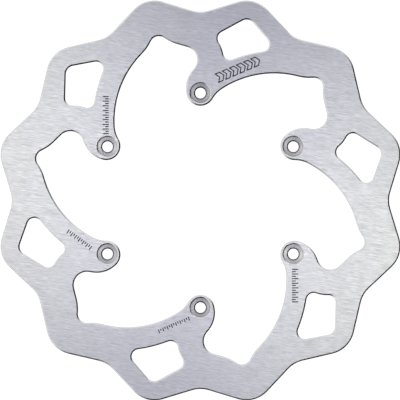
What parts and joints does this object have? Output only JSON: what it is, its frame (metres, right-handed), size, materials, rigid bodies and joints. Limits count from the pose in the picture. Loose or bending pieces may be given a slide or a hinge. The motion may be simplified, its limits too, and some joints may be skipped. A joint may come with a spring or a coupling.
{
  "type": "brake disc",
  "caption": "One-piece steel brake disc with a wavy rim, swept arms that end in counterbored lugs, and a window through the root of each arm, for a motorcycle wheel.",
  "frame": {"origin": "wheel axis at the disc's back face, which is the face that seats on the hub", "axes": "+Z along the wheel axis, out of the counterbored and marked front face; +Y through the first lug"},
  "size_m": [0.233, 0.233, 0.005],
  "materials": {
    "disc_steel": "straight-ground stainless steel, fine brushed grain"
  },
  "bodies": {
    "root": {"brake_disc": "disc_steel"}
  },
  "joints": []
}
